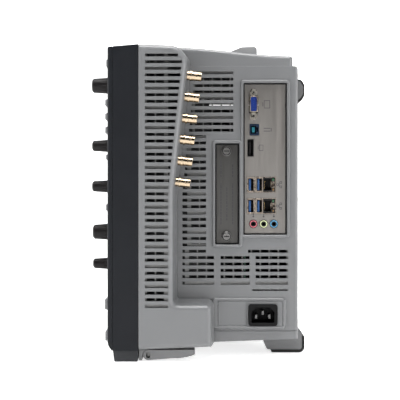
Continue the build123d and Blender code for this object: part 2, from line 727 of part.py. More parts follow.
def hard_drive():
    x = (BAY_X - 5.0 - DRIVE_SIZE[0], BAY_X - 5.0)
    body = block(x, (BAY_Y - 10.2, BAY_Y + 9.8), (THUMBSCREW_Z[0] + 7.2, THUMBSCREW_Z[1] - 7.2))
    return chamfer(body.edges().filter_by(Axis.X), 1.5)


def thumbscrew(z):
    head = rod((BAY_X + 0.4, 28.0, z), (1, 0, 0), 5.0, 5.4)
    head = chamfer(head.edges().group_by(Axis.X)[-1], 0.6)
    count = 16
    knurls = []
    for step in range(count):
        angle = 2 * math.pi * step / count
        centre = (BAY_X + 1.2, 28.0 + 5.15 * math.cos(angle), z + 5.15 * math.sin(angle))
        knurls.append(rod(centre, (1, 0, 0), 0.5, 6))
    recess = block((BAY_X + 4.6, BAY_X + 7), around(28.0, 1.2), around(z, 7.0))
    head = cut(head, [*knurls, recess])
    return fuse([head, rod((BAY_X - 11.0, 28.0, z), (1, 0, 0), 1.9, 11.4)])


def bay_frame():
    """Metal guide that the tray slides in, with threaded blocks for the thumbscrews."""
    deep = (18.0, SIDE_X - WALL - 2.0)
    front = block(deep, (13.2, 14.4), (117.0, 225.0))
    rear = block(deep, (43.0, 44.2), (117.0, 225.0))
    end = block((18.0, 19.2), (14.4, 43.0), (117.0, 225.0))
    blocks = []
    for z in THUMBSCREW_Z:
        body = block((BAY_X - 14, BAY_X - 3.0), (14.4, 43.0), around(z, 8.0))
        blocks.append(body - rod((BAY_X - 13, 28.0, z), (1, 0, 0), 1.95, 12))
    return fuse([front, rear, end, *blocks])


def inlet_panel():
    """Plate of the inlet, with a blank field beside it and two rails behind."""
    y, z, length, height = INLET_PLATE
    plate = panel((INLET_X - 1.5, INLET_X), around(y, length), around(z, height), 1.2)
    plate -= panel((INLET_X - 3, INLET_X + 1), around(INLET_Y, 27.4), around(INLET_Z, 19.6), 2.0)
    seam = block((INLET_X - 0.5, INLET_X + 1), (49.0, 49.5), (31.0, 60.0))
    depth = (SIDE_X - WALL + 0.05, INLET_X - 1.4)
    rails = [block(depth, around(y + side * (length / 2 - 1.3), 2.0), (34.0, 56.0)) for side in (-1, 1)]
    return fuse([plate - seam, *rails])


def ac_inlet():
    """Three-pin appliance inlet."""
    flange = panel((INLET_X + 0.05, INLET_X + 2.6), around(INLET_Y, INLET_W), around(INLET_Z, INLET_H), 2.8)
    barrel = panel((INLET_X - 20.0, INLET_X + 0.05), around(INLET_Y, 27.0), around(INLET_Z, 19.2), 2.0)
    y, z = INLET_Y, INLET_Z
    mouth = [
        (y - 12.1, z - 8.2), (y + 12.1, z - 8.2), (y + 12.1, z + 3.2),
        (y + 7.2, z + 8.2), (y - 7.2, z + 8.2), (y - 12.1, z + 3.2),
    ]
    hollow = side_prism(mouth, INLET_X - 15.0, INLET_X + 5, [1.6] * 6)
    return fuse([flange, barrel]) - hollow


def inlet_pins():
    pins = []
    for side, lift in ((-1, -1.9), (0, 2.1), (1, -1.9)):
        y = (INLET_Y + side * 7.0 - 1.0, INLET_Y + side * 7.0 + 1.0)
        z = (INLET_Z + lift - 2.0, INLET_Z + lift + 2.0)
        pins.append(block((INLET_X - 15.0, INLET_X - 1.0), y, z))
    return group(*pins)


# ---------------------------------------------------------------- handle, feet and legs
def handle_arm():
    y, z = HANDLE_PIVOT
    bar_y, bar_z = BAR_YZ
    outline = [
        (y + 2.0, z - BARREL_R + 0.4), (y, z + BARREL_R - 0.2), (y - 9.0, z + BARREL_R - 2.0),
        (20.0, 320.8), (bar_y, bar_z + BAR_R), (bar_y - 6.5, bar_z), (bar_y, bar_z - BAR_R), (28.0, 311.0),
    ]
    arm = side_prism(outline, *ARM_X)
    barrel = rod((ARM_X[0], y, z), (1, 0, 0), BARREL_R, ARM_X[1] - ARM_X[0])
    knuckle = rod((ARM_X[0], bar_y, bar_z), (1, 0, 0), BAR_R, ARM_X[1] - ARM_X[0])
    arm = fuse([arm, barrel, knuckle])
    return arm - rod((ARM_X[0] - 1, y, z), (1, 0, 0), PIN_R + SHAFT_GAP, 20)


def carry_handle():
    bar = rod((-ARM_X[0], *BAR_YZ), (1, 0, 0), BAR_R, 2 * ARM_X[0])
    return fuse([handle_arm(), mirrored(handle_arm()), bar])


def handle_grip():
    sleeve = rod((-58, *BAR_YZ), (1, 0, 0), BAR_R + 1.8, 116)
    sleeve = fillet(sleeve.edges(), 1.2)
    return sleeve - rod((-59, *BAR_YZ), (1, 0, 0), BAR_R, 118)


def handle_brackets():
    """Hinge block beside each arm: a wedge that rises out of the top cover."""
    y, z = HANDLE_PIVOT
    top = z + BARREL_R + 0.2
    outline = [
        (y - 30.0, PAN_Z), (y - 28.0, 321.0), (y - 9.0, top - 0.6), (y + 7.6, top), (y + 8.0, PAN_Z),
    ]
    bracket = side_prism(outline, *BRACKET_X, [0.5, 6.0, 9.0, 3.4, 0.5])
    bracket -= rod((150, y, z), (1, 0, 0), PIN_R, 10.9)
    return both_sides(bracket)


def handle_pins():
    y, z = HANDLE_PIVOT
    return both_sides(rod((ARM_X[0] + 0.5, y, z), (1, 0, 0), PIN_R, 160.9 - ARM_X[0] - 0.5))


def tilt_leg():
    y, z = LEG_PIVOT
    outline = [(y, z - LEG_R), (-14.0, 4.0), (-5.2, 6.4), (-5.2, 11.6), (y, z + LEG_R)]
    leg = fuse([
        side_prism(outline, *LEG_X, [0.3, 4.0, 1.6, 1.6, 0.3]),
        rod((LEG_X[0], y, z), (1, 0, 0), LEG_R, LEG_X[1] - LEG_X[0]),
    ])
    leg -= rod((LEG_X[0] - 1, y, z), (1, 0, 0), 2.0 + SHAFT_GAP, 40)
    leg -= panel((LEG_X[1] - 4.0, LEG_X[1] + 1), around(y, 4.6), around(z, 6.4), 2.25)
    return leg


def leg_brackets():
    """Lug beside each tilt leg, with a cradle around the leg's round end."""
    y, z = LEG_PIVOT
    lug = side_prism([(-62.4, 1.2), (-46.0, 1.2), (-40.0, 13.0), (-62.4, 13.0)], 184.0, LEG_X[0] - 0.4)
    toe = block((184.0, LEG_X[1]), (-62.4, y - LEG_R - 0.9), (0.9, 13.0))
    upper = block((184.0, LEG_X[1]), (-62.4, y), (z, 13.0)) - rod((197, y, z), (1, 0, 0), LEG_R + 0.35, 30)
    upper -= block((LEG_X[0] - 0.4, 230), (y - 1.0, y + 1), (0, 20))
    bracket = fuse([lug, toe, upper]) - rod((186.0, y, z), (1, 0, 0), 2.0, 20)
    bracket &= side_prism([(-63, 0), (-30, 0), (-30, bottom_z(-30)), (-63, bottom_z(-63))], 180, 220)
    return both_sides(bracket)


def leg_pins():
    y, z = LEG_PIVOT
    return both_sides(rod((186.0, y, z), (1, 0, 0), 2.0, 24.5))


def front_feet():
    outline = [(-88.8, 11.2), (-87.2, 0.0), (-63.6, 0.0), (-63.2, 11.2)]
    return both_sides(side_prism(outline, 190.0, 219.0, [0.3, 1.6, 0.8, 0.3]))


def rear_feet():
    outline = [
        (67.0, bottom_z(67.0)), (72.0, 3.5), (109.8, 3.5), (109.8, 22.5),
        (CABINET_REAR_Y, 28.5), (CABINET_REAR_Y, bottom_z(CABINET_REAR_Y)),
    ]
    return both_sides(side_prism(outline, *FOOT_X, [0.3, 3.0, 3.0, 3.0, 0.3, 0.3]))


def rear_foot_pads():
    """Rubber L under and behind each rear foot."""
    outline = [
        (77.0, 0.0), (REAR_FEET_Y, 0.0), (REAR_FEET_Y, 18.0), (109.8, 18.0), (109.8, 3.5), (77.0, 3.5),
    ]
    return both_sides(side_prism(outline, FOOT_X[0] + 2, FOOT_X[1] - 2, [1.2, 6.0, 1.2, 0.4, 3.0, 0.4]))


def bumper_prism(inset, x_low, x_high):
    """D-shaped outline of an upper stand-off."""
    rear = REAR_FEET_Y - inset
    points = [
        (CABINET_REAR_Y, 270.3 + inset), (rear - 3.2, 272.0 + inset), (rear, 277.5 + inset),
        (rear, 289.0 - inset), (rear - 3.2, 294.2 - inset), (CABINET_REAR_Y, 295.6 - inset),
    ]
    return side_prism(points, x_low, x_high, [0.3, 3.0, 3.0, 3.0, 3.0, 0.3])


def rear_bumpers():
    """Upper stand-offs, so that the set can stand on its rear face."""
    return both_sides(bumper_prism(1.8, *FOOT_X))


def rear_bumper_pads():
    skin = bumper_prism(0.0, FOOT_X[0] + 2, FOOT_X[1] - 2) - bumper_prism(1.8, FOOT_X[0], FOOT_X[1])
    return both_sides(skin)


# ---------------------------------------------------------------- inside
def chassis():
    """Folded sheet: base, front bulkhead and side walls."""
    base = block((-166.0, 166.0), (-58.0, 96.0), (21.6, 23.0))
    bulkhead = block((-166.0, 166.0), (-59.4, -58.0), (21.6, 298.0))
    left = block((-167.4, -166.0), (-59.4, 96.0), (21.6, 298.0))
    right = block((166.0, 167.4), (-59.4, 10.0), (21.6, 298.0))
    cable_gap = block((100, 150), (-70, -50), (100, 160))
    return fuse([base, bulkhead, left, right]) - cable_gap


def motherboard():
    board = block((-50.0, IO_X - 2.0), (46.6, 48.2), (68.0, 298.0))
    sockets = [block((x, x + 9), (48.2, 53.0), (90.0, 223.0)) for x in (0, 12, 24, 36)]
    heatsink_base = block((70, 130), (48.2, 54.0), (196.0, 256.0))
    fins = [block((72 + 6 * n, 74 + 6 * n), (54.0, 68.0), (196.0, 256.0)) for n in range(10)]
    return fuse([board, *sockets, heatsink_base, *fins])


def power_supply():
    body = block((56.0, INLET_X - 24.0), (26.0, 98.0), (24.0, 64.0))
    vents = [block((60.0, 140.0), (36.0 + 8 * n, 40.0 + 8 * n), (62.0, 66.0)) for n in range(7)]
    return cut(body, vents)


def acquisition_board():
    board = block((-160.0, 34.0), (-50.0, 96.0), (36.6, 38.4))
    chips = [
        block(around(x, 27), around(y, 27), (38.4, 41.4)) for x in (-130, -86, -42, 2) for y in (10, 52)
    ]
    return fuse([board, *chips])


def pod_connectors():
    """Shrouded sockets for the probe pods."""
    pods = []
    for n in range(POD_COUNT):
        x = POD_X + n * POD_PITCH
        shroud = block(around(x, 38.0), (90.0, CABINET_REAR_Y + 1.6), around(POD_Z, 14.0))
        hollow = block(around(x, 35.0), (94.0, CABINET_REAR_Y + 3), around(POD_Z, 11.0))
        tongue = block(around(x, 31.0), (94.0, CABINET_REAR_Y - 1.0), around(POD_Z, 3.0))
        pods.append(fuse([shroud - hollow, tongue]))
    return group(*pods)


def fan_frames():
    frames = []
    for x in FAN_X:
        body = facing(around(x, FAN_SIZE), FAN_Y, around(FAN_Z, FAN_SIZE), 4)
        body -= rod((x, FAN_Y[0] - 1, FAN_Z), (0, 1, 0), FAN_SIZE / 2 - 2, 30)
        reach = FAN_SIZE / 2 - 1
        strut = block((-reach, reach), (96.8, 99.0), (-2, 2))
        struts = [Pos(x, 0, FAN_Z) * Rot(0, turn, 0) * strut for turn in (30, 120)]
        motor = rod((x, 92.0, FAN_Z), (0, 1, 0), 15.0, 7.0)
        body = fuse([body, *struts, motor])
        frames.append(body - rod((x, 85, FAN_Z), (0, 1, 0), 1.55, 11))
    return group(*frames)


def fan_rotor(x):
    hub = rod((x, FAN_Y[0] + 1, FAN_Z), (0, 1, 0), 17.0, 16.4)
    blades = [
        Pos(x, 0, FAN_Z) * Rot(0, 360 * n / FAN_BLADES, 0) * Pos(26.0, 83.2, 0) * Rot(35, 0, 0)
        * Box(20.0, 14.0, 1.6)
        for n in range(FAN_BLADES)
    ]
    shaft = rod((x, 91.0, FAN_Z), (0, 1, 0), 1.5, 4.6)
    return fuse([hub, *blades, shaft])


def fan_guards():
    """Stamped finger guards: four rings on two crossed spokes."""
    y = (CABINET_REAR_Y, CABINET_REAR_Y + 2.2)
    guards = []
    for x in FAN_X:
        rings = [
            rod((x, y[0], FAN_Z), (0, 1, 0), radius, 2.2)
            - rod((x, y[0] - 1, FAN_Z), (0, 1, 0), radius - 1.7, 4)
            for radius in (12.0, 21.0, 30.0, 39.5)
        ]
        spokes = [
            Pos(x, 0, FAN_Z) * Rot(0, turn, 0) * block((-42.0, 42.0), y, (-1.1, 1.1))
            for turn in (45, 135)
        ]
        guards.append(fuse([*rings, *spokes]))
    return group(*guards)


def case_screws():
    """Pan-head screws on the rear panel."""
    places = [(x, z) for x in (-165, -60, 60, 165) for z in (34.0, 298.0)]
    places += [(x, 165.0) for x in (-165, 165)]
    screws = []
    for x, z in places:
        head = rod((x, CABINET_REAR_Y, z), (0, 1, 0), 2.9, 1.5)
        head = fillet(head.edges().group_by(Axis.Y)[-1], 0.9)
        cross = [
            block(around(x, wide), (CABINET_REAR_Y + 0.7, 110), around(z, high))
            for wide, high in ((3.2, 0.8), (0.8, 3.2))
        ]
        screws.append(cut(head, cross))
    return group(*screws)


def build():
    save(front_side_cover(True), "front_side_cover_right")
    save(mirrored(front_side_cover(False)), "front_side_cover_left")
    save(rear_side_cover_right(), "rear_side_cover_right")
    save(rear_side_cover_left(), "rear_side_cover_left")
    save(top_cover(), "top_cover")
    save(bottom_cover(), "bottom_cover")
    save(rear_panel(), "rear_panel")
    save(front_bezel(), "front_bezel")
    for name, sizes in KEYS.items():
        save(key_cap(*sizes), name)
    for name, sizes in KNOBS.items():
        save(knob(*sizes), name)
    save(rotary_encoders(), "rotary_encoders")
    save(keypad_board(), "keypad_board")
    save(front_usb_ports(), "front_usb_ports")
    save(touch_glass(), "touch_glass")
    save(lcd_panel(), "lcd_panel")
    save(emi_screens(), "emi_screens")
    save(io_shield(), "io_shield")
    save(vga_connector(), "vga_connector")
    save(group(usb_b_port(), displayport()), "usb_b_and_display_ports")
    save(group(lan_usb_stack("lan_upper"), lan_usb_stack("lan_lower")), "lan_usb_stacks")
    save(audio_jack_block(), "audio_jack_block")
    save(group(bnc_connectors(), bnc_nuts()), "bnc_connectors")
    save(drive_tray(), "drive_tray")
    save(hard_drive(), "hard_drive")
    save(thumbscrew(THUMBSCREW_Z[0]), "thumbscrew_lower")
    save(thumbscrew(THUMBSCREW_Z[1]), "thumbscrew_upper")
    save(bay_frame(), "bay_frame")
    save(inlet_panel(), "inlet_panel")
    save(group(ac_inlet(), inlet_pins()), "ac_inlet")
    save(carry_handle(), "carry_handle")
    save(handle_grip(), "handle_grip")
    save(handle_brackets(), "handle_brackets")
    save(group(handle_pins(), leg_pins()), "hinge_pins")
    save(tilt_leg(), "tilt_leg_right")
    save(mirrored(tilt_leg()), "tilt_leg_left")
    save(leg_brackets(), "leg_brackets")
    save(front_feet(), "front_feet")
    save(group(rear_feet(), rear_bumpers()), "rear_feet")
    save(group(rear_foot_pads(), rear_bumper_pads()), "rear_rubber_pads")
    save(chassis(), "chassis")
    save(motherboard(), "motherboard")
    save(power_supply(), "power_supply")
    save(acquisition_board(), "acquisition_board")
    save(pod_connectors(), "pod_connectors")
    save(fan_frames(), "fan_frames")
    save(fan_rotor(FAN_X[0]), "fan_rotor_left")
    save(fan_rotor(FAN_X[1]), "fan_rotor_right")
    save(fan_guards(), "fan_guards")
    save(case_screws(), "case_screws")


build()
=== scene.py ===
import bpy
import bmesh
import json
import math
from mathutils import Matrix, Vector


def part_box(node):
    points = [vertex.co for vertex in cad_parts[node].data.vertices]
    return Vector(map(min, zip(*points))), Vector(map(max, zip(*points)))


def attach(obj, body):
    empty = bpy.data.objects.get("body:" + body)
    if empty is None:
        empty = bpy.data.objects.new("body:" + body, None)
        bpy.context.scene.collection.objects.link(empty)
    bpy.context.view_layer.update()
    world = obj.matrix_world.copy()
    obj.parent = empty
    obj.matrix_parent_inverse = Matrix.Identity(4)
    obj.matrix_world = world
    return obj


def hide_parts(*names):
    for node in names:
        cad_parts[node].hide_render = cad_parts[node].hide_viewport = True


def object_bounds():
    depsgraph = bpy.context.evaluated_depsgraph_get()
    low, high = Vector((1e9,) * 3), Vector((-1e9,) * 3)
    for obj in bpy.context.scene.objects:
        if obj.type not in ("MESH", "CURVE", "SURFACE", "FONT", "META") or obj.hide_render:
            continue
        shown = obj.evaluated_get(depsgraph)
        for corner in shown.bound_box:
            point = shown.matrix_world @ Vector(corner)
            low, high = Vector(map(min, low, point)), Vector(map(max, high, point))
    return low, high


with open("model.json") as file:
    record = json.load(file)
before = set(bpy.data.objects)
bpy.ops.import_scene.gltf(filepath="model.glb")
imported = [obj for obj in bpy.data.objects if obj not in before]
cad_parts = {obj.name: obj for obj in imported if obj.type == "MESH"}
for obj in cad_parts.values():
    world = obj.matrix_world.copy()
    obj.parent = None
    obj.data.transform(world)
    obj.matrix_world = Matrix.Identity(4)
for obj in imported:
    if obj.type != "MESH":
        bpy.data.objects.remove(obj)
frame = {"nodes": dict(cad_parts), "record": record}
cad_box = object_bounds()
nodes = frame["nodes"]

MM = 0.001
PINHOLE = 0.02                        # radius left open at the axis of a turned solid


# ---------------------------------------------------------------- places of the CAD nodes
def box_mm(node):
    """Lowest and highest corners of a CAD node, in millimetres."""
    return [[round(c / MM, 3) for c in corner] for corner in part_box(node)]


def middle_mm(node):
    """Centre of a CAD node's box, in millimetres, to a tenth."""
    low, high = box_mm(node)
    return [round((a + b) / 2, 1) for a, b in zip(low, high)]


# ---------------------------------------------------------------- materials
def new_material(name, color, roughness=0.5, metallic=0.0):
    """A Principled material; colours are linear."""
    mat = bpy.data.materials.new(name)
    mat.use_nodes = True
    shader = mat.node_tree.nodes["Principled BSDF"]
    shader.inputs["Base Color"].default_value = (*color, 1.0)
    shader.inputs["Roughness"].default_value = roughness
    shader.inputs["Metallic"].default_value = metallic
    return mat, mat.node_tree, shader


def object_noise(tree, size, detail=3.0, stretch=(1.0, 1.0, 1.0)):
    """Noise in object space whose features are about size metres across."""
    coords = tree.nodes.new("ShaderNodeTexCoord")
    mapping = tree.nodes.new("ShaderNodeMapping")
    mapping.inputs["Scale"].default_value = stretch
    noise = tree.nodes.new("ShaderNodeTexNoise")
    noise.inputs["Scale"].default_value = 1.0 / size
    noise.inputs["Detail"].default_value = detail
    tree.links.new(coords.outputs["Object"], mapping.inputs["Vector"])
    tree.links.new(mapping.outputs["Vector"], noise.inputs["Vector"])
    return noise.outputs["Fac"]


def vary_color(tree, shader, fac, color, spread):
    """Lets the colour drift by a fraction of itself."""
    ramp = tree.nodes.new("ShaderNodeValToRGB")
    ramp.color_ramp.elements[0].position = 0.3
    ramp.color_ramp.elements[1].position = 0.7
    ramp.color_ramp.elements[0].color = (*[c * (1 - spread) for c in color], 1.0)
    ramp.color_ramp.elements[1].color = (*[min(1.0, c * (1 + spread)) for c in color], 1.0)
    tree.links.new(fac, ramp.inputs["Fac"])
    tree.links.new(ramp.outputs["Color"], shader.inputs["Base Color"])


def vary_roughness(tree, shader, fac, roughness, spread):
    """Lets the roughness drift by up to spread."""
    span = tree.nodes.new("ShaderNodeMapRange")
    span.inputs["From Min"].default_value = 0.3
    span.inputs["From Max"].default_value = 0.7
    span.inputs["To Min"].default_value = max(0.02, roughness - spread)
    span.inputs["To Max"].default_value = min(1.0, roughness + spread)
    tree.links.new(fac, span.inputs["Value"])
    tree.links.new(span.outputs["Result"], shader.inputs["Roughness"])


def add_bump(tree, shader, fac, depth, edge):
    """Grain over softly rounded edges."""
    soft = tree.nodes.new("ShaderNodeBevel")
    soft.samples = 4
    soft.inputs["Radius"].default_value = edge
    bump = tree.nodes.new("ShaderNodeBump")
    bump.inputs["Strength"].default_value = 1.0
    bump.inputs["Distance"].default_value = depth
    tree.links.new(fac, bump.inputs["Height"])
    tree.links.new(soft.outputs["Normal"], bump.inputs["Normal"])
    tree.links.new(bump.outputs["Normal"], shader.inputs["Normal"])


def plastic(name, color, roughness=0.5, grain=0.0006, depth=0.00003, spread=0.03, edge=0.0005, shine=0.5):
    """Moulded plastic with a fine spark-eroded texture."""
    mat, tree, shader = new_material(name, color, roughness)
    shader.inputs["Specular IOR Level"].default_value = shine
    vary_color(tree, shader, object_noise(tree, 0.06, 4.0), color, spread)
    vary_roughness(tree, shader, object_noise(tree, 0.012, 3.0), roughness, 0.06)
    add_bump(tree, shader, object_noise(tree, grain, 2.0), depth, edge)
    return mat


def metal(name, color, roughness=0.35, brushed=(1.0, 1.0, 1.0), depth=0.00001, edge=0.0002):
    """Metal, with fine scratches along one axis where it is brushed."""
    mat, tree, shader = new_material(name, color, roughness, metallic=1.0)
    vary_color(tree, shader, object_noise(tree, 0.02, 4.0, brushed), color, 0.06)
    vary_roughness(tree, shader, object_noise(tree, 0.004, 4.0, brushed), roughness, 0.08)
    add_bump(tree, shader, object_noise(tree, 0.0008, 2.0, brushed), depth, edge)
    return mat


def ink(name, color):
    """Printed marking."""
    return new_material(name, color, 0.6)[0]


def glowing(name, grey, strength):
    """A matt studio surface that also gives light."""
    mat, _, shader = new_material(name, (grey, grey, grey), 0.9)
    shader.inputs["Emission Color"].default_value = (1.0, 1.0, 1.0, 1.0)
    shader.inputs["Emission Strength"].default_value = strength
    return mat


CABINET = plastic("cabinet_plastic", (0.102, 0.1042, 0.1072), 0.4)
BEZEL = plastic("bezel_plastic", (0.0054, 0.0062, 0.0080), 0.5, depth=0.00004, spread=0.08, shine=0.14)
KNOB = plastic("knob_plastic", (0.0055, 0.0046, 0.0048), 0.42, spread=0.08, shine=0.14)
KNOB_CAP = plastic("knob_cap", (0.060, 0.062, 0.066), 0.35)
KEY = plastic("key_plastic", (0.14, 0.143, 0.147), 0.5)
FOOT = plastic("foot_plastic", (0.095, 0.096, 0.098), 0.45)
HANDLE = plastic("handle_plastic", (0.21, 0.212, 0.216), 0.38)
DARK = plastic("dark_plastic", (0.013, 0.014, 0.016), 0.5, spread=0.08, shine=0.25)
RUBBER = plastic(
    "rubber_black", (0.009, 0.0085, 0.0085), 0.8, grain=0.0009, depth=0.00006, spread=0.1, shine=0.3)
INLET = plastic("inlet_plastic", (0.0025, 0.0025, 0.0028), 0.5, depth=0.00001, shine=0.12)
JACK = plastic("jack_plastic", (0.005, 0.005, 0.0055), 0.5, shine=0.2)
FAN = plastic("fan_plastic", (0.010, 0.010, 0.011), 0.45, shine=0.3)
VGA_BLUE = plastic("video_blue", (0.003, 0.017, 0.12), 0.5, shine=0.2)
USB_BLUE = plastic("usb_blue", (0.010, 0.050, 0.15), 0.45, shine=0.3)
USB_NAVY = plastic("usb_navy", (0.003, 0.010, 0.026), 0.45, shine=0.2)
TEAL = plastic("square_port_teal", (0.008, 0.10, 0.13), 0.45, shine=0.3)
PINK = plastic("jack_pink", (0.34, 0.085, 0.105), 0.45, shine=0.3)
LIME = plastic("jack_lime", (0.38, 0.42, 0.24), 0.45, shine=0.3)
SKY = plastic("jack_sky", (0.06, 0.19, 0.31), 0.45, shine=0.3)
INSULATOR = plastic("insulator_white", (0.66, 0.65, 0.61), 0.45)
BOARD = plastic("board_green", (0.01, 0.065, 0.03), 0.35, spread=0.15)
SHEET = metal("sheet_steel", (0.14, 0.14, 0.138), 0.42, brushed=(1.0, 1.0, 0.05))
BLACK_STEEL = plastic("black_steel", (0.012, 0.012, 0.013), 0.45, depth=0.00005)
SHIELD = metal("shield_steel", (0.215, 0.204, 0.192), 0.46, brushed=(1.0, 1.0, 0.04))
TRAY = metal("tray_metal", (0.086, 0.084, 0.081), 0.45, brushed=(1.0, 1.0, 0.06))
NICKEL = metal("connector_metal", (0.34, 0.29, 0.245), 0.3)
BRASS = metal("bnc_gold", (0.36, 0.285, 0.20), 0.24)
GOLD = metal("contact_gold", (0.72, 0.50, 0.20), 0.24)
STEEL = metal("pin_steel", (0.12, 0.12, 0.118), 0.36)
THUMB = metal("thumbscrew_steel", (0.20, 0.196, 0.19), 0.34)
SCREW = metal("screw_steel", (0.50, 0.47, 0.42), 0.3)
DRIVE = metal("drive_metal", (0.4, 0.4, 0.4), 0.4)
DISPLAY_BODY = metal("display_body", (0.2, 0.2, 0.2), 0.45)
PRINT_DARK = ink("print_dark", (0.030, 0.030, 0.032))
PRINT_PALE = ink("print_pale", (0.50, 0.50, 0.49))
BORDER = ink("border_black", (0.004, 0.004, 0.0045))
LABEL = plastic("rating_label", (0.42, 0.42, 0.41), 0.4, depth=0.000005)
GREEN_LENS = plastic("lens_green", (0.014, 0.060, 0.024), 0.25, depth=0.000005)
AMBER_LENS = plastic("lens_amber", (0.085, 0.045, 0.014), 0.25, depth=0.000005)


def glass_front():
    """Dark touch glass over the unlit display."""
    mat, tree, shader = new_material("display_glass", (0.004, 0.0045, 0.0055), 0.05)
    shader.inputs["Specular IOR Level"].default_value = 0.4
    vary_roughness(tree, shader, object_noise(tree, 0.05, 2.0), 0.05, 0.02)
    return mat


GLASS = glass_front()

BY_SLOT = {
    "cabinet_plastic": CABINET, "bezel_plastic": BEZEL, "knob_plastic": KNOB, "key_plastic": KEY,
    "power_key_plastic": KEY, "sheet_steel": SHEET, "black_steel": BLACK_STEEL, "shield_steel": SHIELD,
    "connector_metal": NICKEL, "bnc_gold": BRASS, "jack_plastic": JACK, "inlet_plastic": INLET,
    "pin_steel": STEEL, "screw_steel": SCREW, "rubber_black": RUBBER, "foot_plastic": FOOT,
    "dark_plastic": DARK, "board_green": BOARD, "display_glass": GLASS, "display_body": DISPLAY_BODY,
    "drive_metal": DRIVE, "fan_plastic": FAN, "handle_plastic": HANDLE,
}
BY_NODE = {
    "handle_brackets": HANDLE, "carry_handle": HANDLE, "drive_tray": TRAY,
    "thumbscrew_lower": THUMB, "thumbscrew_upper": THUMB,
}


def paint_nodes():
    """Gives every CAD node the material of its slot."""
    for part in frame["record"]["subparts"]:
        shown = nodes[part["node"]]
        mat = BY_NODE.get(part["node"], BY_SLOT[part["material_slot"]])
        if not shown.material_slots:
            shown.data.materials.append(mat)
        for material_slot in shown.material_slots:
            material_slot.material = mat


# ---------------------------------------------------------------- mesh helpers
def rectangle(u, v, wide, high):
    """Corners of an upright rectangle about its centre."""
    right, top = u + wide / 2, v + high / 2
    left, bottom = u - wide / 2, v - high / 2
    return [(left, bottom), (right, bottom), (right, top), (left, top)]


def arc(centre, inner, outer, start, end, count=20):
    """Outline of a curved band; angles in degrees from +X, anticlockwise."""
    cx, cz = centre
    points = []
    for radius, order in ((outer, range(count + 1)), (inner, range(count, -1, -1))):
        for step in order:
            angle = math.radians(start + (end - start) * step / count)
            points.append((cx + radius * math.cos(angle), cz + radius * math.sin(angle)))
    return points


class Shape:
    """Simple solids, given in millimetres, collected into one mesh."""

    def __init__(self):
        self.bm = bmesh.new()

    def block(self, x, y, z, soft=0.0):
        """A box between limits on each axis, with its edges bevelled by soft."""
        size = (x[1] - x[0], y[1] - y[0], z[1] - z[0])
        middle = ((x[0] + x[1]) / 2, (y[0] + y[1]) / 2, (z[0] + z[1]) / 2)
        place = Matrix.Translation(middle) @ Matrix.Diagonal((*size, 1.0))
        made = bmesh.ops.create_cube(self.bm, size=1.0, matrix=place)
        if soft:
            edges = list({e for v in made["verts"] for e in v.link_edges})
            bmesh.ops.bevel(self.bm, geom=edges, offset=soft, segments=2, profile=0.5, affect="EDGES")
        return self

    def lathe(self, profile, start, axis, count=32):
        """Turns a closed outline of (radius, height) about an axis."""
        frame_of = Vector(axis).to_track_quat("Z", "Y").to_matrix()
        rings = []
        for step in range(count):
            angle = 2 * math.pi * step / count
            ring = []
            for radius, height in profile:
                spot = Vector((radius * math.cos(angle), radius * math.sin(angle), height))
                ring.append(self.bm.verts.new(Vector(start) + frame_of @ spot))
            rings.append(ring)
        for step in range(count):
            near, far = rings[step], rings[(step + 1) % count]
            for n in range(len(profile)):
                m = (n + 1) % len(profile)
                self.bm.faces.new((near[n], far[n], far[m], near[m]))
        return self

    def rod(self, start, axis, radius, length, count=24):
        return self.ring(start, axis, radius, PINHOLE, length, count)

    def ring(self, start, axis, outer, inner, length, count=32):
        outline = [(inner, 0.0), (outer, 0.0), (outer, length), (inner, length)]
        return self.lathe(outline, start, axis, count)

    def plate(self, points, side, low, high):
        """A flat outline drawn in (X, Z) facing the operator, or in (Y, Z) facing +X, with a thickness."""
        def spot(u, v, depth):
            return (u, depth, v) if side == "front" else (depth, u, v)
        lower = [self.bm.verts.new(spot(u, v, low)) for u, v in points]
        upper = [self.bm.verts.new(spot(u, v, high)) for u, v in points]
        self.bm.faces.new(lower)
        self.bm.faces.new(list(reversed(upper)))
        for n in range(len(points)):
            m = (n + 1) % len(points)
            self.bm.faces.new((lower[m], lower[n], upper[n], upper[m]))
        return self

    def frame(self, centre, outer, inner, x):
        """A rectangular frame facing +X, given its outer and inner half sizes."""
        (y, z), (oy, oz), (iy, iz) = centre, outer, inner
        for side in (-1, 1):
            self.block(x, sorted((y + side * iy, y + side * oy)), (z - oz, z + oz))
            self.block(x, (y - iy, y + iy), sorted((z + side * iz, z + side * oz)))
        return self

    def holed(self, centre, radius, y, z, low, high):
        """A rectangular plate facing +X with a round hole at centre."""
        corners = [math.atan2(v - centre[1], u - centre[0]) for u in y for v in z]
        loops = []
        for angle in sorted([math.radians(step * 7.5 - 180) for step in range(48)] + corners):
            du, dv = math.cos(angle), math.sin(angle)
            across = (y[du > 0] - centre[0]) / du if abs(du) > 1e-6 else 1e6
            up = (z[dv > 0] - centre[1]) / dv if abs(dv) > 1e-6 else 1e6
            reach = min(across, up)
            spots = [(low, radius), (low, reach), (high, reach), (high, radius)]
            loops.append([self.bm.verts.new((x, centre[0] + r * du, centre[1] + r * dv)) for x, r in spots])
        for near, far in zip(loops, loops[1:] + loops[:1]):
            for n in range(4):
                m = (n + 1) % 4
                self.bm.faces.new((near[n], far[n], far[m], near[m]))
        return self

    def piece(self, name, mat, body, replaces=(), smooth=35.0):
        """Finishes the mesh, hangs it on its body and hides the CAD nodes it replaces."""
        bmesh.ops.recalc_face_normals(self.bm, faces=self.bm.faces[:])
        bmesh.ops.scale(self.bm, vec=(MM, MM, MM), verts=self.bm.verts[:])
        return finish_piece(self.bm, name, mat, body, replaces, smooth)


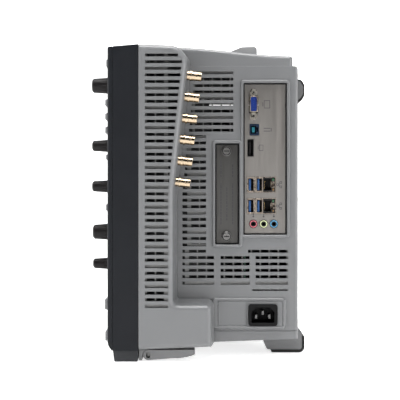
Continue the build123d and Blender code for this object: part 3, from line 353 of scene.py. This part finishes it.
def finish_piece(bm, name, mat, body, replaces=(), smooth=35.0):
    """Makes an object of a mesh in metres, smooth except at edges sharper than the given angle."""
    mesh = bpy.data.meshes.new(name)
    for face in bm.faces:
        face.smooth = True
    bm.to_mesh(mesh)
    bm.free()
    mesh.set_sharp_from_angle(angle=math.radians(smooth))
    mesh.materials.append(mat)
    made = bpy.data.objects.new(name, mesh)
    bpy.context.collection.objects.link(made)
    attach(made, body)
    if replaces:
        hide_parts(*replaces)
    return made


def islands(node):
    """Faces of a CAD node, grouped by connected solid: (centre in mm, size in mm, list of triangles)."""
    mesh = nodes[node].data
    key_of = {}
    keys = []
    for vert in mesh.vertices:
        key = tuple(round(c * 1e6) for c in vert.co)
        keys.append(key_of.setdefault(key, len(key_of)))
    parent = list(range(len(key_of)))

    def root(n):
        while parent[n] != n:
            parent[n] = parent[parent[n]]
            n = parent[n]
        return n

    for face in mesh.polygons:
        first = root(keys[face.vertices[0]])
        for index in face.vertices[1:]:
            parent[root(keys[index])] = first
            first = root(first)
    groups = {}
    for face in mesh.polygons:
        groups.setdefault(root(keys[face.vertices[0]]), []).append(face)
    found = []
    for faces in groups.values():
        spots = [mesh.vertices[i].co / MM for f in faces for i in f.vertices]
        low = Vector(min(p[a] for p in spots) for a in range(3))
        high = Vector(max(p[a] for p in spots) for a in range(3))
        found.append(((low + high) / 2, high - low, faces))
    return mesh, found


def split_node(node, body, chooser):
    """Shows each solid of a CAD node in its own finish.

    The chooser maps a solid's centre and size to a suffix for its name, a material and a slot.
    """
    mesh, found = islands(node)
    grouped = {}
    for middle, size, faces in found:
        grouped.setdefault(chooser(middle, size), []).extend(faces)
    for (suffix, mat, slot), faces in grouped.items():
        bm = bmesh.new()
        verts = {}
        for face in faces:
            corners = []
            for index in face.vertices:
                spot = mesh.vertices[index].co
                key = tuple(round(c * 1e6) for c in spot)
                if key not in verts:
                    verts[key] = bm.verts.new(spot)
                corners.append(verts[key])
            if len(set(corners)) > 2 and bm.faces.get(corners) is None:
                bm.faces.new(corners)
        finish_piece(bm, f"{node}_{suffix}", mat, body, (node,), 30.0)


# ---------------------------------------------------------------- connector side
SHIELD_LIP = 0.8                      # height of the folded edge around the connector panel
IO_X = round(box_mm("io_shield")[1][0] - SHIELD_LIP, 3)
IO_Y, IO_Z = middle_mm("io_shield")[1:]
VIDEO_Y, VIDEO_Z = middle_mm("vga_connector")[1:]
VIDEO_SCREW_STEP = 12.5
DISPLAY_Z = 219.7                     # flat-mouthed video socket
SQUARE_Z = 238.9                      # square USB socket
STACK_LOW_Y = box_mm("lan_usb_stacks")[0][1]
STACK_Z = (180.8, 158.2)
AUDIO_Y, AUDIO_Z = middle_mm("audio_jack_block")[1:]
AUDIO_STEP = 10.85
AUDIO_JACKS = (
    ("pink", PINK, AUDIO_Y - AUDIO_STEP), ("lime", LIME, AUDIO_Y), ("sky", SKY, AUDIO_Y + AUDIO_STEP),
)
TRAY_X = box_mm("drive_tray")[1][0]
TRAY_Y, TRAY_Z = middle_mm("drive_tray")[1:]
ALONG_X = (1, 0, 0)


def video_finish(centre, size):
    if size.x < 5 and size.z > 10:
        return "insert", VGA_BLUE, None
    if size.z < 8:
        return "screws", SCREW, "screw_steel"
    return "shell", NICKEL, "connector_metal"


def digital_port_finish(centre, size):
    if centre.z > 229:
        return ("square_tongue", TEAL, None) if size.x < 12 else ("square_shell", USB_NAVY, None)
    if size.x < 10:
        return "video_tongue", JACK, "jack_plastic"
    return "video_body", INLET, "inlet_plastic"


def stack_finish(centre, size):
    return ("shells", NICKEL, "connector_metal") if size.y > 20 else ("tongues", USB_BLUE, None)


def coax_finish(centre, size):
    return ("nuts", NICKEL, "connector_metal") if size.y < 6 else ("jacks", BRASS, "bnc_gold")


def inlet_finish(centre, size):
    return ("body", INLET, "inlet_plastic") if size.y > 20 else ("pins", STEEL, "pin_steel")


def recolour_ports():
    """Own finishes for the inserts, tongues, nuts and pins of the connectors."""
    split_node("vga_connector", "cabinet", video_finish)
    split_node("usb_b_and_display_ports", "cabinet", digital_port_finish)
    split_node("lan_usb_stacks", "cabinet", stack_finish)
    split_node("bnc_connectors", "cabinet", coax_finish)
    split_node("ac_inlet", "cabinet", inlet_finish)


def stack_details(contacts, liners):
    """Contacts, liners, black frames and lamps of the two USB and network stacks."""
    frames = Shape()
    green = Shape()
    amber = Shape()
    low = STACK_LOW_Y
    for z in STACK_Z:
        for start in (low + 1.2, low + 10.2):
            for step in range(4):
                pin_z = z + (step - 1.5) * 2.3
                pin = (pin_z - 0.45, pin_z + 0.45)
                contacts.block((IO_X - 9.0, IO_X - 1.0), (start + 2.8, start + 2.95), pin)
            liners.block((IO_X - 11.6, IO_X - 11.2), (start + 0.1, start + 5.5), (z - 6.5, z + 6.5))
        for step in range(8):
            pin_z = z + (step - 3.5) * 1.02
            pin = (pin_z - 0.18, pin_z + 0.18)
            contacts.block((IO_X - 11.0, IO_X - 2.5), (low + 18.3, low + 18.9), pin)
        wall = 0.35
        depth = (IO_X - 13.8, IO_X - 0.1)
        liners.block(depth, (low + 17.65, low + 17.65 + wall), (z - 6.15, z + 6.15))
        for side in (-1, 1):
            edge = sorted((z + side * 6.15, z + side * (6.15 - wall)))
            liners.block(depth, (low + 18.0, low + 25.7), edge)
        liners.block((IO_X - 13.8, IO_X - 13.4), (low + 18.0, low + 25.7), (z - 5.8, z + 5.8))
        face = (IO_X - 1.0, IO_X + 0.98)
        frames.block(face, (low + 16.9, low + 17.7), (z - 7.6, z + 7.6), 0.15)
        for side in (-1, 1):
            frames.block(face, (low + 17.5, low + 25.8), sorted((z + side * 6.1, z + side * 7.6)), 0.15)
            frames.block(face, (low + 25.7, low + 29.8), sorted((z + side * 3.2, z + side * 7.6)), 0.15)
        frames.block(face, (low + 29.0, low + 29.8), (z - 3.4, z + 3.4), 0.15)
        lamp = ((IO_X - 3.0, IO_X + 1.1), (low + 26.6, low + 28.7))
        green.block(*lamp, (z + 4.0, z + 6.7), 0.3)
        amber.block(*lamp, (z - 6.7, z - 4.0), 0.3)
    frames.piece("network_frames", JACK, "cabinet")
    green.piece("network_lamps_green", GREEN_LENS, "cabinet")
    amber.piece("network_lamps_amber", AMBER_LENS, "cabinet")


def video_details():
    """Rolled lip and screw collars of the video connector, and a dark rod in each screw bore as painted
    shade.
    """
    lip = Shape()
    collars = Shape()
    bore_shade = Shape()
    lip_x = (IO_X + 3.6, IO_X + 5.04)
    long_way = (VIDEO_Z - 8.4, VIDEO_Z + 8.4)
    for side in (-1, 1):
        lip.block(lip_x, sorted((VIDEO_Y + side * 3.3, VIDEO_Y + side * 4.1)), long_way, 0.3)
        end = sorted((VIDEO_Z + side * 7.6, VIDEO_Z + side * 8.4))
        lip.block(lip_x, (VIDEO_Y - 3.6, VIDEO_Y + 3.6), end, 0.3)
        screw_z = VIDEO_Z + side * VIDEO_SCREW_STEP
        collars.ring((IO_X + 0.05, VIDEO_Y, screw_z), ALONG_X, 3.9, 2.95, 0.5, 40)
        # A dark rod in each screw hole: painted shade inside the bore.
        bore_shade.rod((IO_X + 2.0, VIDEO_Y, screw_z), ALONG_X, 1.17, 2.0, count=20)
    lip.piece("video_socket_lip", NICKEL, "cabinet")
    collars.piece("video_screw_collars", SCREW, "cabinet")
    bore_shade.piece("video_screw_bore_shade", JACK, "cabinet")


def audio_details():
    """A plate with three holes over the jack block, and a coloured ring in each hole."""
    plate = Shape()
    edges = (AUDIO_Y - 16.85, AUDIO_Y - AUDIO_STEP / 2, AUDIO_Y + AUDIO_STEP / 2, AUDIO_Y + 16.85)
    for number, (name, mat, y) in enumerate(AUDIO_JACKS):
        between = (edges[number], edges[number + 1])
        plate.holed((y, AUDIO_Z), 4.5, between, (AUDIO_Z - 5.55, AUDIO_Z + 5.55), IO_X - 1.0, IO_X)
        band = Shape()
        band.lathe([(2.75, 0.2), (4.03, 0.2), (4.03, 3.05), (3.7, 3.35), (2.9, 3.35), (2.75, 3.2)],
                   (IO_X - 1.4, y, AUDIO_Z), ALONG_X, 40)
        band.piece(f"audio_ring_{name}", mat, "cabinet")
    plate.piece("jack_surround", SHIELD, "cabinet")


def port_details():
    """Contacts, lamps, liners and rings of the connectors."""
    contacts = Shape()
    liners = Shape()
    stack_details(contacts, liners)
    for step in range(10):
        pin_z = DISPLAY_Z + (step - 4.5) * 1.3
        contacts.block((IO_X - 6.5, IO_X - 2.2), (53.6, 53.7), (pin_z - 0.2, pin_z + 0.2))
    contacts.piece("socket_contacts", GOLD, "cabinet")
    liners.piece("socket_liners", JACK, "cabinet")
    video_details()
    audio_details()


def bnc_details():
    """White insulator, gold contact and washer of each coaxial jack, square to the bulge's leaning edge."""
    lean = math.radians(6.08)
    direction = Vector((0.0, math.cos(lean), -math.sin(lean)))
    insulators = Shape()
    centres = Shape()
    washers = Shape()
    for number in range(6):
        z = 293.4 - 22.0 * number
        edge = max(-13.9 - (302.0 - z) * math.tan(lean), -27.6)
        base = Vector((203.6, edge, z))
        insulators.ring(base + direction * 9.0, direction, 2.55, 0.9, 3.8, 24)
        centres.ring(base + direction * 7.0, direction, 0.88, 0.45, 6.3, 16)
        washers.lathe([(4.9, 0.0), (5.9, 0.0), (6.1, 0.25), (5.9, 0.7), (4.9, 0.7)],
                      base + direction * 0.1, direction, 36)
    insulators.piece("coax_insulators", INSULATOR, "cabinet")
    centres.piece("coax_contacts", GOLD, "cabinet")
    washers.piece("coax_washers", STEEL, "cabinet")


def side_markings():
    """Pad-printed pictograms beside the connectors: frames, bars and arrows only."""
    print_x = (IO_X - 0.02, IO_X + 0.05)
    marks = Shape()

    def bar(y, z, wide, high):
        marks.plate(rectangle(y, z, wide, high), "side", *print_x)

    def outline(y, z, wide, high, line=0.55):
        for side in (-1, 1):
            bar(y, z + side * (high - line) / 2, wide, line)
            bar(y + side * (wide - line) / 2, z, line, high - 2 * line)

    outline(70.8, VIDEO_Z, 6.4, 8.4)
    bar(66.4, VIDEO_Z, 0.7, 4.2)
    for offset in (-1.5, 1.5):
        bar(70.8, SQUARE_Z + offset, 7.0, 0.8)
    bar(75.2, SQUARE_Z, 0.8, 3.8)
    outline(64.6, DISPLAY_Z, 4.4, 6.4)
    bar(61.4, DISPLAY_Z, 0.6, 3.0)
    for z in STACK_Z:
        for offset in (-2.4, 2.4):
            outline(85.4, z + offset, 2.4, 2.4, 0.5)
        outline(81.9, z, 2.4, 2.4, 0.5)
        bar(83.7, z, 0.5, 4.8)
    for _, _, y in AUDIO_JACKS:
        bar(y, AUDIO_Z + 9.1, 0.6, 3.2)
        arrow = [(y - 1.3, AUDIO_Z + 8.3), (y + 1.3, AUDIO_Z + 8.3), (y, AUDIO_Z + 6.8)]
        marks.plate(arrow, "side", *print_x)
    marks.piece("port_pictograms", PRINT_DARK, "cabinet")


def tray_markings():
    """Broken lines on the tray, where a caution would be printed."""
    dashes = (2.4, 3.6, 1.8, 3.0)
    gap = 0.8
    lines = Shape()
    for y, low, high in ((22.2, 189.0, 207.0), (34.6, 189.0, 203.0), (22.2, 139.0, 182.0),
                         (28.4, 143.0, 178.0), (34.6, 139.0, 182.0)):
        z = low
        step = 0
        while z < high:
            end = min(z + dashes[step % len(dashes)], high)
            lines.plate(rectangle(y, (z + end) / 2, 1.2, end - z), "side", TRAY_X - 0.03, TRAY_X + 0.06)
            z = end + gap
            step += 1
    lines.piece("tray_caution_bars", PRINT_DARK, "drive_module")


def side_details():
    """Black strips painted as the shadow gaps round the connector panel and the tray, a painted shade
    border on the tray's face, a painted shade ring and slot on each thumbscrew, and the legs' rubber
    strips.
    """
    # Black strips standing in the gaps round the connector panel and the tray: painted shadow gaps.
    shadow_gaps = Shape()
    shadow_gaps.frame((IO_Y, IO_Z), (22.95, 80.1), (21.4, 78.5), (IO_X - 0.4, IO_X + 1.0))
    shadow_gaps.frame((TRAY_Y, TRAY_Z), (12.75, 53.45), (12.15, 52.85), (TRAY_X - 2.6, TRAY_X + 0.4))
    shadow_gaps.piece("painted_shadow_gaps", JACK, "cabinet")
    # A black border on the tray's face just inside its edge: painted shade along the edge.
    edge = Shape()
    edge.frame((TRAY_Y, TRAY_Z), (11.95, 52.65), (11.1, 51.8), (TRAY_X - 0.1, TRAY_X + 0.08))
    edge.piece("tray_painted_shade_edge", JACK, "drive_module")
    for name in ("thumbscrew_lower", "thumbscrew_upper"):
        low, high = box_mm(name)
        face = high[0]
        y = (low[1] + high[1]) / 2
        z = (low[2] + high[2]) / 2
        # A dark ring and a dark bar on the thumbscrew's face: painted shade of its outline and of a slot.
        slot = Shape()
        slot.ring((face - 0.2, y, z), ALONG_X, 4.5, 3.7, 0.25)
        slot.block((face - 0.2, face + 0.05), (y - 3.0, y + 3.0), (z - 0.5, z + 0.5))
        slot.piece(f"{name}_slot", JACK, name)
    for name in ("right", "left"):
        low, high = box_mm(f"tilt_leg_{name}")
        pad = Shape()
        pad.plate([(-24.0, 2.6), (-16.5, 3.4), (-9.6, 5.0), (-9.8, 6.0), (-16.8, 4.6), (-24.2, 3.8)],
                  "side", low[0] + 1.2, high[0] - 1.2)
        pad.piece(f"leg_pad_{name}", RUBBER, f"tilt_leg_{name}")


# ---------------------------------------------------------------- front panel
FRONT_Y = box_mm("front_bezel")[0][1]
CONTROL_X = middle_mm("power_button")[0]
KNOBS = ("entry_knob", "marker_knob_upper", "marker_knob_lower", "scale_knob", "delay_knob")
PLAY = [(-1.4, -1.6), (1.7, 0.0), (-1.4, 1.6)]
ARROW = [(4.9, 0.0), (3.4, 1.2), (3.4, -1.2)]
SIGNS = {
    "run_single_key": [PLAY],
    "run_repeat_key": [[(u - 2.0, v) for u, v in PLAY], [(u + 1.9, v) for u, v in PLAY]],
    "stop_key": [rectangle(0.0, 0.0, 3.0, 3.0)],
    "touch_lock_key": [rectangle(0.0, -0.8, 3.8, 2.4), arc((0, 0.4), 0.9, 1.4, 0, 180, 12)],
    "marker_select_key": [rectangle(0.0, 0.0, 7.2, 0.7), [(-u, -v) for u, v in ARROW], ARROW],
    "zoom_key": [
        arc((-0.6, 0.5), 1.2, 1.8, 0, 359.5, 28), [(0.6, -0.5), (2.4, -2.3), (1.9, -2.8), (0.1, -1.0)],
    ],
    "print_key": [
        rectangle(0.0, -0.4, 6.0, 2.4), rectangle(0.0, 2.0, 3.6, 1.6), rectangle(0.0, -2.7, 3.6, 1.4),
    ],
    "power_button": [arc((0, 0), 2.3, 3.0, 125, 415, 30), rectangle(0.0, 2.15, 0.7, 3.1)],
}


def key_legends():
    """One printed sign on each key."""
    for name, outlines in SIGNS.items():
        face = box_mm(name)[0][1]
        z = middle_mm(name)[2]
        shape = Shape()
        for points in outlines:
            shape.plate([(CONTROL_X + u, z + v) for u, v in points], "front", face - 0.06, face + 0.05)
        shape.piece(f"{name}_sign", PRINT_DARK, name)


def knob_details():
    """Grey cap with a pointer on each knob, and printed arcs round it on the panel."""
    marks = Shape()
    printed = (FRONT_Y - 0.05, FRONT_Y + 0.05)
    for name in KNOBS:
        low, high = box_mm(name)
        tip = low[1]
        radius = round((high[0] - low[0]) / 2, 1)
        z = middle_mm(name)[2]
        cap_radius = radius - 2.7
        cap = Shape()
        profile = [(PINHOLE, 0.0), (cap_radius, 0.0), (cap_radius, 0.25), (cap_radius - 0.35, 0.45),
                   (PINHOLE, 0.45)]
        cap.lathe(profile, (CONTROL_X, tip + 0.02, z), (0, -1, 0), 40)
        cap.piece(f"{name}_cap", KNOB_CAP, name)
        line = Shape()
        line.plate(rectangle(CONTROL_X, z + cap_radius * 0.625, 0.7, cap_radius * 0.55),
                   "front", tip - 0.48, tip - 0.30)
        line.piece(f"{name}_pointer", PRINT_PALE, name)
        ring = radius + 3.4
        for start, end in ((28, 76), (104, 152)):
            marks.plate(arc((CONTROL_X, z), ring, ring + 0.55, start, end), "front", *printed)
        for side in (-1, 1):
            angle = math.radians(90 + side * 62)
            cx = CONTROL_X + (ring + 0.3) * math.cos(angle)
            cz = z + (ring + 0.3) * math.sin(angle)
            marks.plate([(cx - 1.2, cz + 0.9), (cx + 1.2, cz + 0.9), (cx, cz - 1.2)], "front", *printed)
    for side in (-1, 1):
        marks.plate(rectangle(CONTROL_X + side * 19.0, 251.5, 0.5, 43.0), "front", *printed)
    for z in (295.5, 273.6, 229.4, 165.4, 146.0, 84.0):
        marks.plate(rectangle(CONTROL_X, z, 38.5, 0.5), "front", *printed)
    marks.piece("panel_markings", PRINT_PALE, "cabinet")


def front_details():
    """Front sockets' contacts, state lamps and the glass's printed border."""
    contacts = Shape()
    for z in (30.0, 41.0):
        for step in range(4):
            cx = 155.0 + (step - 1.5) * 2.4
            contacts.block((cx - 0.45, cx + 0.45), (-93.0, -83.0), (z, z + 0.22))
    contacts.piece("front_socket_contacts", GOLD, "cabinet")
    lamps = Shape()
    for cx in (204.0, 166.0):
        lamps.lathe([(PINHOLE, 0.0), (1.3, 0.0), (1.3, 0.3), (0.8, 0.7), (PINHOLE, 0.85)],
                    (cx, FRONT_Y + 0.05, 23.0), (0, -1, 0), 24)
    lamps.piece("state_lamps", GREEN_LENS, "cabinet")
    border = Shape()
    glass_y = box_mm("touch_glass")[0][1]
    x, _, z = middle_mm("touch_glass")
    line, wide, high = 2.2, 303.8, 227.8
    for side in (-1, 1):
        for outline in (rectangle(x, z + side * (high - line) / 2, wide, line),
                        rectangle(x + side * (wide - line) / 2, z, line, high)):
            border.plate(outline, "front", glass_y - 0.06, glass_y + 0.02)
    border.piece("glass_border", BORDER, "cabinet")


# ---------------------------------------------------------------- rear and top
REAR_Y = box_mm("rear_panel")[1][1]
POD_X, POD_STEP, POD_COUNT = -144.0, 44.0, 5
POD_Z = middle_mm("pod_connectors")[2]
LABEL_X, LABEL_Z = (60.0, 140.0), (66.0, 102.0)


def pod_details():
    """Gold contacts in the pod connectors, with lines and counting dots printed round them."""
    contacts = Shape()
    marks = Shape()
    printed = (REAR_Y - 0.08, REAR_Y + 0.06)
    for number in range(POD_COUNT):
        x = POD_X + number * POD_STEP
        for row in (-1, 1):
            z = sorted((POD_Z + row * 1.5, POD_Z + row * 1.75))
            for step in range(20):
                cx = x + (step - 9.5) * 1.5
                contacts.block((cx - 0.3, cx + 0.3), (95.0, 102.2), z)
        for side in (-1, 1):
            marks.plate(rectangle(x, POD_Z + side * 10.4, 36.0, 0.6), "front", *printed)
        for dot in range(number + 1):
            marks.plate(arc((x - 16.0 + dot * 3.0, 60.2), PINHOLE, 0.9, 0, 359.5, 16), "front", *printed)
    contacts.piece("pod_contacts", GOLD, "cabinet")
    marks.piece("rear_markings", PRINT_DARK, "cabinet")


def rear_labels():
    """Rating label with bars for its lines, and a round badge on each fan."""
    corner_r = 2.0
    left, right = LABEL_X[0] + corner_r, LABEL_X[1] - corner_r
    bottom, top = LABEL_Z[0] + corner_r, LABEL_Z[1] - corner_r
    outline = []
    for cx, cz, start in ((right, top, 0), (left, top, 90), (left, bottom, 180), (right, bottom, 270)):
        for step in range(7):
            turn = math.radians(start + step * 15)
            outline.append((cx + corner_r * math.cos(turn), cz + corner_r * math.sin(turn)))
    label = Shape()
    label.plate(outline, "front", REAR_Y - 0.05, REAR_Y + 0.12)
    label.piece("rating_label", LABEL, "cabinet")
    bars = Shape()
    for row in range(6):
        z = 95.0 - row * 4.8
        for start, end in ((66.0, 92.0), (96.0, 112.0 + 3 * (row % 3))):
            bar = rectangle((start + end) / 2, z, end - start, 1.2)
            bars.plate(bar, "front", REAR_Y + 0.06, REAR_Y + 0.18)
    bars.piece("rating_label_bars", PRINT_DARK, "cabinet")
    fans_x, _, fans_z = middle_mm("fan_guards")
    for side, name in ((-1, "left"), (1, "right")):
        badge = Shape()
        badge.lathe([(2.4, 0.0), (12.5, 0.0), (12.5, 0.12), (2.4, 0.12)],
                    (fans_x + side * 46.0, 98.95, fans_z), (0, 1, 0), 48)
        badge.piece(f"fan_badge_{name}", LABEL, "cabinet")


def handle_details():
    """Ribs round the grip."""
    _, y, z = middle_mm("handle_grip")
    ribs = Shape()
    for step in range(19):
        x = -54.0 + step * 6.0
        ribs.lathe([(9.2, -1.1), (9.75, -0.7), (9.9, 0.0), (9.75, 0.7), (9.2, 1.1)], (x, y, z), ALONG_X, 40)
    ribs.piece("grip_ribs", RUBBER, "handle")


# ---------------------------------------------------------------- studio
AIM = Vector((0.1, 0.0, 0.17))


def stage_plane(name, size, place, turn, mat):
    """A plane of the studio."""
    bpy.ops.mesh.primitive_plane_add(size=size, location=place, rotation=turn)
    made = bpy.context.object
    made.name = name
    made.data.materials.append(mat)
    return made


def face_object(thing, axis):
    """Turns the given axis of a card or a lamp towards the object."""
    thing.rotation_euler = (AIM - Vector(thing.location)).to_track_quat(axis, "Y").to_euler()


def dark_card():
    """A card seen only in reflections, so that metal and gloss keep a dark side."""
    mat, _, shader = new_material("dark_card", (0.01, 0.01, 0.01), 1.0)
    shader.inputs["Specular IOR Level"].default_value = 0.0
    card = stage_plane("dark_card", 1.0, (2.6, -0.25, 0.9), (0.0, 0.0, 0.0), mat)
    card.scale = (3.2, 3.4, 1.0)
    face_object(card, "Z")
    card.visible_camera = False
    card.visible_diffuse = False
    card.visible_shadow = False


def area_light(name, place, size, power):
    light = bpy.data.lights.new(name, "AREA")
    light.shape = "RECTANGLE"
    light.size, light.size_y = size
    light.energy = power
    lamp = bpy.data.objects.new(name, light)
    bpy.context.collection.objects.link(lamp)
    lamp.location = place
    face_object(lamp, "-Z")


def studio():
    """White floor and backdrop under a dim white surround, with three soft lights."""
    bpy.context.scene.view_settings.view_transform = "Standard"
    world = bpy.data.worlds.new("surround")
    bpy.context.scene.world = world
    world.use_nodes = True
    sky = world.node_tree.nodes["Background"]
    sky.inputs["Color"].default_value = (1.0, 1.0, 1.0, 1.0)
    sky.inputs["Strength"].default_value = 0.36
    flat = (0.0, 0.0, 0.0)
    upright = (0.0, math.radians(90), 0.0)
    stage_plane("floor", 12.0, (0.0, 0.0, -0.0005), flat, glowing("floor_white", 0.92, 0.7))
    stage_plane("backdrop", 16.0, (-4.0, 0.0, 4.0), upright, glowing("backdrop_white", 0.9, 1.0))
    dark_card()
    area_light("front_side_light", (0.8, -1.6, 0.6), (0.8, 0.8), 24.0)
    area_light("rear_side_light", (0.9, 1.5, 0.4), (0.7, 0.9), 17.0)
    area_light("top_light", (0.5, 0.0, 1.8), (1.0, 1.0), 52.0)


def camera():
    """Square on to the operator's right side, at the middle of its height."""
    distance = 1.0
    height = 0.1646
    data = bpy.data.cameras.new("camera")
    data.sensor_width = 36.0
    data.lens = 88.6
    data.clip_start = 0.01
    eye = bpy.data.objects.new("camera", data)
    bpy.context.collection.objects.link(eye)
    eye.location = (cad_box[1][0] + distance, 0.0, height)
    eye.rotation_euler = (math.radians(90), 0.0, math.radians(90))
    bpy.context.scene.camera = eye


camera()
studio()
paint_nodes()
recolour_ports()
port_details()
bnc_details()
side_markings()
tray_markings()
side_details()
key_legends()
knob_details()
front_details()
pod_details()
rear_labels()
handle_details()
